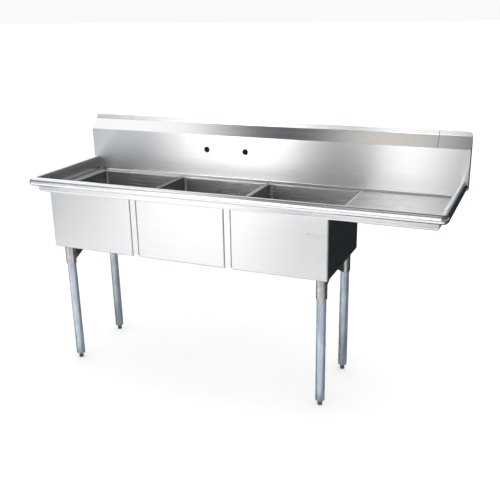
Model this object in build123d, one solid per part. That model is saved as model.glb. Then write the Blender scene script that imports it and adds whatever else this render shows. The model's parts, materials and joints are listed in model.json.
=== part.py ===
"""Three compartment sink with a right-hand drainboard, four legs and basket drains.

Millimetres, +Z up. Everything is laid out from the left front corner of the floor
plan (x to the right, y to the back, z from the floor) and moved on export, so that
the origin is the middle of the footprint, on the floor.
"""

from build123d import *
from math import cos, radians, sin, sqrt
import os

os.makedirs("parts", exist_ok=True)

# Overall sizes
overall_length = 1895.0        # outside of the left roll to outside of the right roll
overall_depth = 597.0          # front of the rolled rim to the back of the splash
overall_height = 1147.0        # floor to the top edge of the splash
rim_height = 938.0             # floor to the top of the rolled rim
sheet = 1.2                    # stainless sheet of the whole top

# Rolled rim
roll_diameter = 38.1
roll_turn = 315.0              # how far round the sheet is rolled, degrees
rim_drop = 70.0                # top of the roll to the underside of the deck
rim_bend = 8.0                 # inside bend between the rim's wall and the deck
rim_corner_leg = 60.0          # length of a corner piece along each side

# Bowls
bowl_count = 3
bowl_width = 431.2
bowl_gap = 26.0                # between neighbouring bowls
bowl_height = 266.0            # underside of the deck to the bowl's bottom
bowl_front_corner = 8.0        # outside radius of the front uprights and of the bottom edges
bowl_rear_corner = 16.0        # outside radius of the rear uprights
bowl_pitch = 6.0               # fall of the floor towards the drain
bowl_pitch_margin = 16.0       # flat border round the pitched floor
left_ledge = 40.7              # deck between the rim and the first bowl
front_web = 1.9                # deck between the rim and the bowls
rear_ledge = 36.0              # bowl to splash
strip_recess = 2.0             # filler strips stand behind the bowls' faces

# Drainboard
seam_offset = 8.0              # last bowl to the seam of the drainboard
channel_width = 50.0           # stiffener under the drainboard
channel_flange = 16.0
channel_height = 20.0
channel_sheet = 1.5
channel_end_gap = 25.0         # stiffener's ends short of the drainboard's ends

# Splash
return_depth = 49.0            # face of the splash to its back
lip_height = 21.0              # upturned edge at the back
lip_corner = 18.0
splash_cove = 10.0             # inside bend between deck and splash
splice_offset = 140.0          # right end to the splice in the return
faucet_spacing = 203.2
faucet_hole = 28.6
faucet_rise = 136.5            # deck to the holes

# Legs and their sockets
leg_diameter = 41.3
leg_wall = 1.5
leg_side_inset = 42.0          # side of the outer bowl to the leg's axis
leg_front_inset = 55.0         # front or back of the bowl to the leg's axis
leg_top_gap = 1.0              # leg's top under the lowest part of the floor
socket_clearance = 0.35        # radial, leg in socket
socket_wall = 3.15
socket_length = 98.0
boss_diameter = 15.0
boss_reach = 6.0               # boss stands proud of the socket
boss_rise = 20.0               # socket's bottom to the boss's axis
boss_bearing = 127.0           # degrees from +x, away from the brace
screw_diameter = 8.0
screw_clearance = 0.1          # radial, screw in boss
screw_hex = 4.0                # across the flats of the key socket
screw_stand_out = 1.0
brace_thickness = 3.0
brace_past_middle = 39.15      # brace's far end beyond the middle of the bowl
brace_nose = 4.0               # blunt lower corner of the brace

# Adjustable feet
foot_exposed = 22.0            # floor to the underside of the insert
insert_cap = 5.0               # insert below the leg's end
insert_nose_diameter = 34.6    # insert's lower end
insert_plug = 33.0             # insert inside the leg
insert_clearance = 0.05        # radial, plug in leg
thread_diameter = 12.7
thread_clearance = 0.05        # radial, foot's stud in the insert
foot_diameter = 20.0
foot_base_diameter = 22.0
foot_base_height = 4.0
foot_seat_gap = 2.0            # foot's shoulder to the insert when set as built
stud_engagement = 52.0         # stud above the foot's shoulder

# Drains
drain_opening = 88.9           # hole in the bowl's floor
drain_flange_overlap = 12.7    # flange beyond the opening, all round
drain_recess_depth = 3.0
drain_recess_clearance = 1.85  # radial, flange in recess
strainer_clearance = 1.45      # radial, strainer in the opening
strainer_flange = 2.0
strainer_wall = 2.0
strainer_depth = 42.0
tail_diameter = 47.6
tail_bore = 40.0
tail_length = 36.0
spoke_width = 3.0
gasket_thickness = 3.0
washer_thickness = 1.0
nut_thickness = 10.0
nut_overlap = 13.0             # nut beyond the strainer's thread
nut_lugs = 8
nut_lug_height = 4.0
seal_radial_gap = 0.5          # gasket and washer round the strainer
nut_clearance = 0.05           # radial, nut on the strainer's thread
basket_clearance = 0.6         # radial, basket's lip in the strainer
basket_lip = 3.0
basket_wall = 1.0
basket_height = 30.0
basket_holes = 12
basket_hole = 6.0
basket_seal_diameter = 54.0
basket_seal_thickness = 2.0
basket_post_diameter = 7.0
basket_knob_diameter = 18.0
basket_knob_height = 6.0
basket_knob_rise = 4.0         # knob's underside above the basket's lip

# Heights that follow
deck_bottom = rim_height - rim_drop
deck_top = deck_bottom + sheet
bowl_bottom = deck_bottom - bowl_height
roll_radius = roll_diameter / 2
roll_centre_height = rim_height - roll_radius
rim_bottom = rim_height - roll_diameter
return_top = overall_height - lip_height
return_bottom = return_top - (return_depth - sheet)

# Plan lines that follow
rim_inset = roll_diameter + rim_bend
splash_face = overall_depth - return_depth
bowl_front = rim_inset + front_web
bowl_back = splash_face - rear_ledge
bowl_depth = bowl_back - bowl_front
bowl_pitch_length = bowl_width + bowl_gap
bowl_lefts = [rim_inset + left_ledge + i * bowl_pitch_length for i in range(bowl_count)]
last_bowl_right = bowl_lefts[-1] + bowl_width
seam_line = last_bowl_right + seam_offset
bowl_middle_y = (bowl_front + bowl_back) / 2
bowl_names = ["left", "middle", "right"]
bowl_inner_front_corner = bowl_front_corner - sheet
bowl_inner_rear_corner = bowl_rear_corner - sheet

socket_radius = leg_diameter / 2 + socket_clearance + socket_wall
leg_places = {
    "front_left": (bowl_lefts[0] + leg_side_inset, bowl_front + leg_front_inset),
    "front_right": (last_bowl_right - leg_side_inset, bowl_front + leg_front_inset),
    "rear_left": (bowl_lefts[0] + leg_side_inset, bowl_back - leg_front_inset),
    "rear_right": (last_bowl_right - leg_side_inset, bowl_back - leg_front_inset),
}

to_footprint_middle = Pos(-overall_length / 2, -overall_depth / 2, 0)


def save(name, shape):
    """Write one piece, moved so that the origin is the middle of the footprint."""
    placed = to_footprint_middle * shape
    placed.label = name
    export_step(placed, f"parts/{name}.step")


def block(x0, x1, y0, y1, z0, z1):
    """A box between two corners."""
    centre = Pos((x0 + x1) / 2, (y0 + y1) / 2, (z0 + z1) / 2)
    return centre * Box(x1 - x0, y1 - y0, z1 - z0)


def rod(x, y, radius, z0, z1):
    """An upright cylinder between two heights."""
    return Pos(x, y, (z0 + z1) / 2) * Cylinder(radius, z1 - z0)


def ring(x, y, outer, inner, z0, z1):
    """An upright tube between two heights."""
    return rod(x, y, outer, z0, z1) - rod(x, y, inner, z0, z1)


def turned(x, y, outline):
    """A solid turned about an upright axis, from (radius, height) points."""
    face = make_face(Polyline(*outline, close=True))
    return Pos(x, y, 0) * revolve(Plane.XZ * face, Axis.Z)


def between_x(section, x0, x1):
    """A (y, z) section run from x0 to x1."""
    return extrude(Plane.YZ.offset(x0) * section, x1 - x0)


def between_y(section, y0, y1):
    """An (x, z) section run from y0 to y1."""
    return extrude(Plane.XZ.offset(-y1) * section, y1 - y0)


# Bowls


def rounded_bin(left, wall):
    """One bowl's envelope, taken in by wall on every side but the top."""
    body = block(left + wall, left + bowl_width - wall,
                 bowl_front + wall, bowl_back - wall, bowl_bottom + wall, deck_bottom)
    front = body.edges().filter_by(Axis.Z).group_by(Axis.Y)[0]
    body = fillet(front, bowl_front_corner - wall)
    rear = body.edges().filter_by(Axis.Z).group_by(Axis.Y)[-1]
    body = fillet(rear, bowl_rear_corner - wall)
    return fillet(body.faces().sort_by(Axis.Z)[0].edges(), bowl_front_corner - wall)


def pitched_floor(left, wall):
    """The shallow four-sided funnel under the flat border, with the drain's recess."""
    middle_x = left + bowl_width / 2
    recess_radius = drain_opening / 2 + drain_flange_overlap + drain_recess_clearance
    top = bowl_bottom + wall
    border = Rectangle(bowl_width - 2 * bowl_pitch_margin, bowl_depth - 2 * bowl_pitch_margin)
    foot = Rectangle(2 * recess_radius, 2 * recess_radius)
    place = Pos(middle_x, bowl_middle_y, 0)
    funnel = loft([place * Pos(0, 0, top) * border,
                   place * Pos(0, 0, top - bowl_pitch) * foot], ruled=True)
    recess_outer = recess_radius + sheet - wall
    low = top - bowl_pitch - drain_recess_depth
    return funnel + rod(middle_x, bowl_middle_y, recess_outer, low, top - bowl_pitch / 2)


def bowl_envelope(left):
    """The whole outside of one bowl as a solid."""
    return rounded_bin(left, 0) + pitched_floor(left, 0)


bowl_envelopes = [bowl_envelope(left) for left in bowl_lefts]
recess_top = bowl_bottom + sheet - bowl_pitch - drain_recess_depth
recess_bottom = recess_top - sheet

for bowl_name, left, envelope in zip(bowl_names, bowl_lefts, bowl_envelopes):
    hollow = rounded_bin(left, sheet) + pitched_floor(left, sheet)
    drain_hole = rod(left + bowl_width / 2, bowl_middle_y, drain_opening / 2,
                     recess_bottom - sheet, recess_top + sheet)
    save(f"bowl_{bowl_name}", envelope - hollow - drain_hole)


# Filler strips between the bowls, front and rear


def filler_strip(index, face_y, corner):
    """The upright strip that closes the gap right of one bowl."""
    x0 = bowl_lefts[index] + bowl_width - corner
    x1 = bowl_lefts[index + 1] + corner
    strip = block(x0, x1, face_y, face_y + sheet, bowl_bottom + bowl_front_corner, deck_bottom)
    return strip - bowl_envelopes[index] - bowl_envelopes[index + 1]


strip_sides = ["left", "right"]
for gap_index, side in enumerate(strip_sides):
    front_strip = filler_strip(gap_index, bowl_front + strip_recess, bowl_front_corner)
    rear_strip = filler_strip(gap_index, bowl_back - strip_recess - sheet, bowl_rear_corner)
    save(f"front_filler_strip_{side}", front_strip)
    save(f"rear_filler_strip_{side}", rear_strip)


# Deck with the three openings, and the drainboard

deck = block(rim_inset, seam_line, rim_inset, splash_face - splash_cove, deck_bottom, deck_top)
for left in bowl_lefts:
    opening = block(left + sheet, left + bowl_width - sheet, bowl_front + sheet, bowl_back - sheet,
                    deck_bottom - sheet, deck_top + sheet)
    front = opening.edges().filter_by(Axis.Z).group_by(Axis.Y)[0]
    opening = fillet(front, bowl_inner_front_corner)
    rear = opening.edges().filter_by(Axis.Z).group_by(Axis.Y)[-1]
    deck -= fillet(rear, bowl_inner_rear_corner)
save("deck", deck)

drainboard_right = overall_length - rim_inset
save("drainboard", block(seam_line, drainboard_right, rim_inset, splash_face - splash_cove,
                         deck_bottom, deck_top))

channel_middle = (rim_inset + splash_face - splash_cove) / 2
channel_top = deck_bottom - channel_sheet / 2
channel_half = channel_width / 2
channel_line = Polyline(
    (channel_middle - channel_half - channel_flange, channel_top),
    (channel_middle - channel_half, channel_top),
    (channel_middle - channel_half, channel_top - channel_height),
    (channel_middle + channel_half, channel_top - channel_height),
    (channel_middle + channel_half, channel_top),
    (channel_middle + channel_half + channel_flange, channel_top))
save("drainboard_channel", between_x(trace(channel_line, channel_sheet),
                                     seam_line + channel_end_gap,
                                     drainboard_right - channel_end_gap))


# Rolled rim

wall_line = roll_diameter - sheet / 2
rim_bend_line = CenterArc((rim_inset, deck_top + rim_bend), rim_bend + sheet / 2, 180, 90)
rim_wall_line = Line((wall_line, deck_top + rim_bend), (wall_line, roll_centre_height))
roll_line = CenterArc((roll_radius, roll_centre_height), roll_radius - sheet / 2, 0, roll_turn)
rim_section = trace(rim_bend_line, sheet) + trace(rim_wall_line, sheet) + trace(roll_line, sheet)
middle_plane = Plane.YZ.offset(overall_length / 2)

save("rim_front", between_x(rim_section, rim_corner_leg, overall_length - rim_corner_leg))
rim_left = between_y(rim_section, rim_corner_leg, splash_face)
save("rim_left", rim_left)
save("rim_right", mirror(rim_left, about=middle_plane))


def rim_corner():
    """The welded corner: the roll turns about the wall's corner and the bend is mitred."""
    outer_part = rim_section & (Pos(roll_radius, rim_height / 2) * Rectangle(roll_diameter, rim_height))
    turn = Pos(roll_diameter, roll_diameter, 0) * revolve(
        Plane.XZ * (Pos(-roll_diameter, 0) * outer_part), Axis.Z, 90)
    reach = rim_corner_leg
    along_front = between_x(rim_section, roll_diameter, reach)
    along_side = between_y(rim_section, roll_diameter, reach)
    front_side = extrude(make_face(Polyline((0, 0), (2 * reach, 0), (2 * reach, 2 * reach),
                                            close=True)), overall_height)
    left_side = extrude(make_face(Polyline((0, 0), (0, 2 * reach), (2 * reach, 2 * reach),
                                           close=True)), overall_height)
    return turn + (along_front & front_side) + (along_side & left_side)


corner = rim_corner()
save("rim_corner_left", corner)
save("rim_corner_right", mirror(corner, about=middle_plane))


# Splash: panel with its cove, boxed return with the upturned edge, end caps

cove_height = deck_top + splash_cove
cove_line = CenterArc((splash_face - splash_cove, cove_height), splash_cove + sheet / 2, 270, 90)
face_line = Line((splash_face + sheet / 2, cove_height), (splash_face + sheet / 2, return_bottom))
cove_section = trace(cove_line, sheet) + trace(face_line, sheet)
panel = between_x(cove_section, rim_inset, overall_length - rim_inset)
panel_back = splash_face + sheet
for x0, x1 in ((0, roll_diameter), (overall_length - roll_diameter, overall_length)):
    panel += block(x0, x1, splash_face, panel_back, rim_bottom, return_bottom)
for x0, x1 in ((roll_diameter, rim_inset), (overall_length - rim_inset, overall_length - roll_diameter)):
    panel += block(x0, x1, splash_face, panel_back, deck_bottom, return_bottom)
faucet_height = deck_top + faucet_rise
faucet_middle = bowl_lefts[bowl_count // 2] + bowl_width / 2
for side in (-1, 1):
    place = Pos(faucet_middle + side * faucet_spacing / 2, splash_face + sheet / 2, faucet_height)
    panel -= place * Rot(90, 0, 0) * Cylinder(faucet_hole / 2, 4 * sheet)
save("splash_panel", panel)

lip_face = overall_depth - sheet
slope_drop = sheet * sqrt(2)      # vertical thickness of the 45 degree sheet
return_outline = Polyline(
    (splash_face, return_bottom), (lip_face, return_top), (lip_face, overall_height),
    (overall_depth, overall_height), (overall_depth, return_top + sheet - slope_drop),
    (splash_face + slope_drop, return_bottom), close=True)
splash_return = between_x(make_face(return_outline), 0, overall_length)
lip_edges = splash_return.edges().filter_by(Axis.Y).group_by(Axis.Z)[-1]
splash_return = fillet(lip_edges, min(lip_corner, 0.9 * lip_height))
splice_line = overall_length - splice_offset
splice_side = block(splice_line, overall_length, 0, 2 * overall_depth, 0, 2 * overall_height)
save("splash_return", splash_return - splice_side)
save("splash_return_end", splash_return & splice_side)

cap_outline = Polyline(
    (panel_back, rim_bottom), (overall_depth, rim_bottom),
    (overall_depth, return_top + sheet - slope_drop),
    (splash_face + slope_drop, return_bottom), (panel_back, return_bottom), close=True)
cap_section = make_face(cap_outline)
save("splash_end_left", between_x(cap_section, 0, sheet))
save("splash_end_right", between_x(cap_section, overall_length - sheet, overall_length))


# Leg sockets with their braces and set screws

socket_bottom = bowl_bottom - socket_length
boss_height = socket_bottom + boss_rise
leg_top = bowl_bottom - bowl_pitch - leg_top_gap
leg_bottom = foot_exposed + insert_cap


def across_socket(x, y, radius, near, far):
    """A cylinder square to the leg on the boss's bearing, between two distances."""
    length = far - near
    middle = (near + far) / 2
    place = Pos(x + middle * cos(radians(boss_bearing)), y + middle * sin(radians(boss_bearing)),
                boss_height)
    return place * Rot(0, 0, boss_bearing) * Rot(0, 90, 0) * Cylinder(radius, length)


def leg_socket(x, y, envelope):
    """Tube socket under a bowl, with the boss for its set screw."""
    bore = leg_diameter / 2 + socket_clearance
    socket = rod(x, y, socket_radius, socket_bottom, bowl_bottom)
    socket += across_socket(x, y, boss_diameter / 2, bore, socket_radius + boss_reach)
    socket -= rod(x, y, bore, socket_bottom - sheet, bowl_bottom + sheet)
    socket -= across_socket(x, y, screw_diameter / 2 + screw_clearance, 0,
                            socket_radius + 2 * boss_reach)
    return socket - envelope


def socket_brace(x, y, towards_back, envelope):
    """Triangular plate from the socket up to the bowl's bottom, lapped past its partner."""
    sign = 1 if towards_back else -1
    near = y + sign * socket_radius
    far = bowl_middle_y + sign * brace_past_middle
    outline = Polyline((near, socket_bottom + brace_nose), (near, bowl_bottom), (far, bowl_bottom),
                       (near + sign * brace_nose, socket_bottom + brace_nose), close=True)
    x0 = x - brace_thickness if towards_back else x
    plate = between_x(make_face(outline), x0, x0 + brace_thickness)
    return plate - envelope - rod(x, y, socket_radius, socket_bottom, bowl_bottom)


def set_screw(x, y):
    """Headless screw, in the boss and against the leg."""
    near = leg_diameter / 2
    far = socket_radius + boss_reach + screw_stand_out
    screw = across_socket(x, y, screw_diameter / 2, near, far)
    key_depth = screw_diameter / 2
    middle = far - key_depth / 2
    place = Pos(x + middle * cos(radians(boss_bearing)), y + middle * sin(radians(boss_bearing)),
                boss_height)
    key = extrude(RegularPolygon(screw_hex / 2, 6, major_radius=False), key_depth / 2, both=True)
    screw -= place * Rot(0, 0, boss_bearing) * Rot(0, 90, 0) * key
    leg_side = rod(x, y, leg_diameter / 2, leg_bottom, leg_top)
    return screw - leg_side


screws = []
for leg_name, (x, y) in leg_places.items():
    envelope = bowl_envelopes[0] if leg_name.endswith("left") else bowl_envelopes[-1]
    save(f"leg_socket_{leg_name}", leg_socket(x, y, envelope))
    save(f"socket_brace_{leg_name}",
         socket_brace(x, y, leg_name.startswith("front"), envelope))
    screws.append(set_screw(x, y))
save("set_screws", Compound(children=screws))


# Legs, their inserts and the adjustable feet

leg_bore = leg_diameter / 2 - leg_wall
insert_top = leg_bottom + insert_plug
insert_bore = thread_diameter / 2 + thread_clearance
foot_top = foot_exposed - foot_seat_gap
stud_chamfer = 1.5
foot_edge = 1.0

for leg_name, (x, y) in leg_places.items():
    save(f"leg_{leg_name}", ring(x, y, leg_diameter / 2, leg_bore, leg_bottom, leg_top))
    save(f"leg_insert_{leg_name}", turned(x, y, [
        (insert_bore, foot_exposed), (insert_nose_diameter / 2, foot_exposed),
        (leg_diameter / 2, leg_bottom - insert_cap / 4), (leg_diameter / 2, leg_bottom),
        (leg_bore - insert_clearance, leg_bottom), (leg_bore - insert_clearance, insert_top),
        (insert_bore, insert_top)]))
    save(f"foot_{leg_name}", turned(x, y, [
        (0, 0), (foot_base_diameter / 2 - foot_edge, 0), (foot_base_diameter / 2, foot_edge),
        (foot_base_diameter / 2, foot_base_height), (foot_diameter / 2, 2 * foot_base_height),
        (foot_diameter / 2, foot_top - foot_edge), (foot_diameter / 2 - foot_edge, foot_top),
        (thread_diameter / 2, foot_top), (thread_diameter / 2, foot_top + stud_engagement - stud_chamfer),
        (thread_diameter / 2 - stud_chamfer, foot_top + stud_engagement),
        (0, foot_top + stud_engagement)]))


# Basket drains

strainer_radius = drain_opening / 2 - strainer_clearance
strainer_bore = strainer_radius - strainer_wall
flange_radius = drain_opening / 2 + drain_flange_overlap
strainer_bottom = recess_top - strainer_depth
strainer_floor = strainer_bottom + strainer_wall
tail_end = strainer_bottom - tail_length
gasket_low = recess_bottom - gasket_thickness
washer_low = gasket_low - washer_thickness
nut_low = washer_low - nut_thickness
seal_bore = strainer_radius + seal_radial_gap
basket_floor = strainer_floor + basket_seal_thickness
basket_top = basket_floor + basket_height
basket_lip_radius = strainer_bore - basket_clearance
basket_radius = basket_lip_radius - basket_lip


def strainer_body(x, y):
    """Flanged cup with a threaded tail, and a cross over the outlet."""
    body = turned(x, y, [
        (tail_bore / 2, tail_end), (tail_diameter / 2, tail_end),
        (tail_diameter / 2, strainer_bottom), (strainer_radius, strainer_bottom),
        (strainer_radius, recess_top), (flange_radius, recess_top),
        (flange_radius, recess_top + strainer_flange / 2),
        (flange_radius - strainer_flange, recess_top + strainer_flange),
        (strainer_bore, recess_top + strainer_flange), (strainer_bore, strainer_floor),
        (tail_bore / 2, strainer_floor)])
    half = spoke_width / 2
    reach = tail_bore / 2 + half
    body += block(x - reach, x + reach, y - half, y + half, strainer_bottom, strainer_floor)
    return body + block(x - half, x + half, y - reach, y + reach, strainer_bottom, strainer_floor)


def lock_nut(x, y):
    """Ring nut with lugs for a spanner, under the bowl."""
    outer = strainer_radius + nut_overlap
    nut = rod(x, y, outer, nut_low, washer_low)
    for i in range(nut_lugs):
        turn = Pos(x, y, 0) * Rot(0, 0, 360 / nut_lugs * (i + 0.5))
        slot = turn * block(outer - nut_lug_height, outer + nut_lug_height,
                            -nut_lug_height, nut_lug_height, nut_low - 1, washer_low - nut_lug_height)
        nut -= slot
    return nut - rod(x, y, strainer_radius + nut_clearance, nut_low - 1, washer_low + 1)


def basket(x, y):
    """Perforated lift-out cup with a knob on a post."""
    wall_inside = basket_radius - basket_wall
    post = basket_post_diameter / 2
    knob = basket_knob_diameter / 2
    knob_low = basket_top + basket_knob_rise
    floor_top = basket_floor + basket_wall
    body = turned(x, y, [
        (0, basket_floor), (basket_radius, basket_floor), (basket_radius, basket_top - basket_wall),
        (basket_lip_radius, basket_top - basket_wall), (basket_lip_radius, basket_top),
        (wall_inside, basket_top), (wall_inside, floor_top), (post, floor_top), (post, knob_low),
        (knob, knob_low), (knob, knob_low + basket_knob_height - foot_edge),
        (knob - foot_edge, knob_low + basket_knob_height), (0, knob_low + basket_knob_height)])
    hole_radius = basket_hole / 2
    hole_circle = (basket_seal_diameter / 2 + wall_inside) / 2
    hole_height = (floor_top + basket_top - basket_wall) / 2
    for i in range(basket_holes):
        turn = Pos(x, y, 0) * Rot(0, 0, 360 / basket_holes * i)
        body -= turn * Pos(hole_circle, 0, basket_floor) * Cylinder(hole_radius, 4 * basket_wall)
        body -= turn * Pos(basket_radius, 0, hole_height) * Rot(0, 90, 0) * Cylinder(
            hole_radius, 4 * basket_wall)
    return body


for bowl_name, left in zip(bowl_names, bowl_lefts):
    x = left + bowl_width / 2
    y = bowl_middle_y
    save(f"strainer_{bowl_name}", strainer_body(x, y))
    save(f"drain_gasket_{bowl_name}", ring(x, y, flange_radius, seal_bore, gasket_low, recess_bottom))
    save(f"drain_washer_{bowl_name}", ring(x, y, flange_radius, seal_bore, washer_low, gasket_low))
    save(f"drain_nut_{bowl_name}", lock_nut(x, y))
    save(f"basket_{bowl_name}", basket(x, y))
    save(f"basket_seal_{bowl_name}",
         rod(x, y, basket_seal_diameter / 2, strainer_floor, basket_floor))
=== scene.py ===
"""Look model of a free-standing three compartment sink in brushed stainless sheet.

Every sheet-metal piece is drawn on its show face, in millimetres from the left
front corner of the footprint, given its gauge by a Solidify modifier and then
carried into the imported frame, where one unit is a metre.
"""

import json
import logging
import math
from dataclasses import dataclass, field
from enum import Enum
from typing import Callable, Iterable, Optional, Sequence

import bmesh
import bpy
from bmesh.types import BMEdge, BMesh, BMVert
from mathutils import Matrix, Vector

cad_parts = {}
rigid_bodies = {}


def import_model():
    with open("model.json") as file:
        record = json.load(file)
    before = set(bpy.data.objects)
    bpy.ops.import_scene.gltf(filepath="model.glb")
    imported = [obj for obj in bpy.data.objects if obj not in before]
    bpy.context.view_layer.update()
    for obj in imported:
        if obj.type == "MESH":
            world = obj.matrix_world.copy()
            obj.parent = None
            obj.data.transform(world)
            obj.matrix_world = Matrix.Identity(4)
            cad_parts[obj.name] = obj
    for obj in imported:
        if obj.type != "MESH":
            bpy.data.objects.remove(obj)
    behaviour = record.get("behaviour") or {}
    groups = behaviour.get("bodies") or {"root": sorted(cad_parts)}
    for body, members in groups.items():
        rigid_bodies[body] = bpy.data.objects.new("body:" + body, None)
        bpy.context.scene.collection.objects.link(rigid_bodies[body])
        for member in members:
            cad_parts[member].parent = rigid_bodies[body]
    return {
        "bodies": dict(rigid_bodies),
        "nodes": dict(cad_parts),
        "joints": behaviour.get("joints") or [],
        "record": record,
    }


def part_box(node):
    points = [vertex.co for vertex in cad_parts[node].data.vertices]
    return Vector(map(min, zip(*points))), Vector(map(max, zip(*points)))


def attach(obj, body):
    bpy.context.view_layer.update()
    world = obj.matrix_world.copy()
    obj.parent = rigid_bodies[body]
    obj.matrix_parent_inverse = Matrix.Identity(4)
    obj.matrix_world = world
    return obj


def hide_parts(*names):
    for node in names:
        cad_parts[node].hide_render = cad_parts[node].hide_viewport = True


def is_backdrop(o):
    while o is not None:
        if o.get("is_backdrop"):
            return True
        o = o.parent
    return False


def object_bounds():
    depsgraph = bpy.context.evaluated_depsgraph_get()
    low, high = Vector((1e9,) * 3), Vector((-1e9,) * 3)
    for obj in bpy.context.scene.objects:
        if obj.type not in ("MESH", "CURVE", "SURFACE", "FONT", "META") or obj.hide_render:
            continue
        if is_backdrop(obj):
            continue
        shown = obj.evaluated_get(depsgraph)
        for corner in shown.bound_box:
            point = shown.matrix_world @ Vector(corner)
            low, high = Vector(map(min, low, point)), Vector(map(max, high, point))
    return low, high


LOG = logging.getLogger("sink")

Socket = bpy.types.NodeSocket
Point = tuple[float, float]
Colour = tuple[float, float, float]
Tone = float | Colour
Stops = Sequence[tuple[float, Tone]]

MILLIMETRE = 0.001
GAUGE = 1.2
GRAIN_MAP = "grain"
FIXED_BODY = "sink"
STEEL_SLOT = "stainless_brushed"
SHARP_FROM, BROKEN_FROM = 32, 38
X, Y, Z = Vector((1, 0, 0)), Vector((0, 1, 0)), Vector((0, 0, 1))


class Grain(Enum):
    """The way the sheet was brushed."""

    ALONG_ROW = (1.0, 0.0, 0.0)
    FRONT_TO_BACK = (0.0, 1.0, 0.0)
    UPRIGHT = (0.0, 0.0, 1.0)


class Hand(Enum):
    """Which end of the row a mirrored piece belongs to."""

    LEFT = "left"
    RIGHT = "right"


# ---------------------------------------------------------------- finishes


def colour(tone: Tone) -> tuple[float, float, float, float]:
    """An opaque colour, from three numbers or from a grey's one."""
    return (*((tone,) * 3 if isinstance(tone, float) else tone), 1.0)


class Nodes:
    """A node tree, with short calls to add nodes and join them."""

    def __init__(self, tree: bpy.types.NodeTree) -> None:
        """Take over a tree."""
        self.tree = tree

    def node(self, kind: str, **settings: object) -> bpy.types.Node:
        """Add a node.

        Args:
            kind: the node's type name, without its ShaderNode prefix.
            settings: properties of the node to set.

        Returns:
            The new node.
        """
        made = self.tree.nodes.new(f"ShaderNode{kind}")
        for name, value in settings.items():
            setattr(made, name, value)
        return made

    def join(self, source: Socket, target: Socket) -> None:
        """Link one socket to another."""
        self.tree.links.new(source, target)

    def spread(self, value: Socket, low: float, high: float,
               start: float = 0.3, end: float = 0.7) -> Socket:
        """Stretch a value to a range.

        Args:
            value: the value, about start to end.
            low: result at start.
            high: result at end.
            start: value that gives low.
            end: value that gives high.

        Returns:
            The stretched value.
        """
        made = self.node("MapRange")
        for name, number in (("From Min", start), ("From Max", end), ("To Min", low), ("To Max", high)):
            made.inputs[name].default_value = number
        self.join(value, made.inputs["Value"])
        return made.outputs["Result"]

    def bands(self, value: Socket, stops: Stops, low: float = -1.0, high: float = 1.0,
              easing: str = "LINEAR") -> Socket:
        """Colours along a varying value.

        Args:
            value: the value.
            stops: each colour and the value it lies at, in order.
            low: the value where the ramp starts.
            high: the value where it ends.
            easing: how the ramp goes from colour to colour.

        Returns:
            The colour.
        """
        made = self.node("ValToRGB")
        made.color_ramp.interpolation = easing
        elements = made.color_ramp.elements
        while len(elements) < len(stops):
            elements.new(0.5)
        for element, (at, _) in zip(elements, stops):
            element.position = (at - low) / (high - low)
        for element, (_, tone) in zip(elements, stops):
            element.color = colour(tone)
        self.join(self.spread(value, 0.0, 1.0, low, high), made.inputs["Fac"])
        return made.outputs["Color"]

    def mix(self, factor: Socket, first: Socket, second: Socket) -> Socket:
        """Two colours mixed by a varying factor."""
        made = self.node("Mix", data_type="RGBA")
        for name, source in (("Factor", factor), ("A", first), ("B", second)):
            self.join(source, made.inputs[name])
        return made.outputs["Result"]

    def step(self, value: Socket, start: float, end: float) -> Socket:
        """A smooth step from 0 at start to 1 at end."""
        made = self.node("MapRange", interpolation_type="SMOOTHSTEP")
        made.inputs["From Min"].default_value = start
        made.inputs["From Max"].default_value = end
        self.join(value, made.inputs["Value"])
        return made.outputs["Result"]


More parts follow.
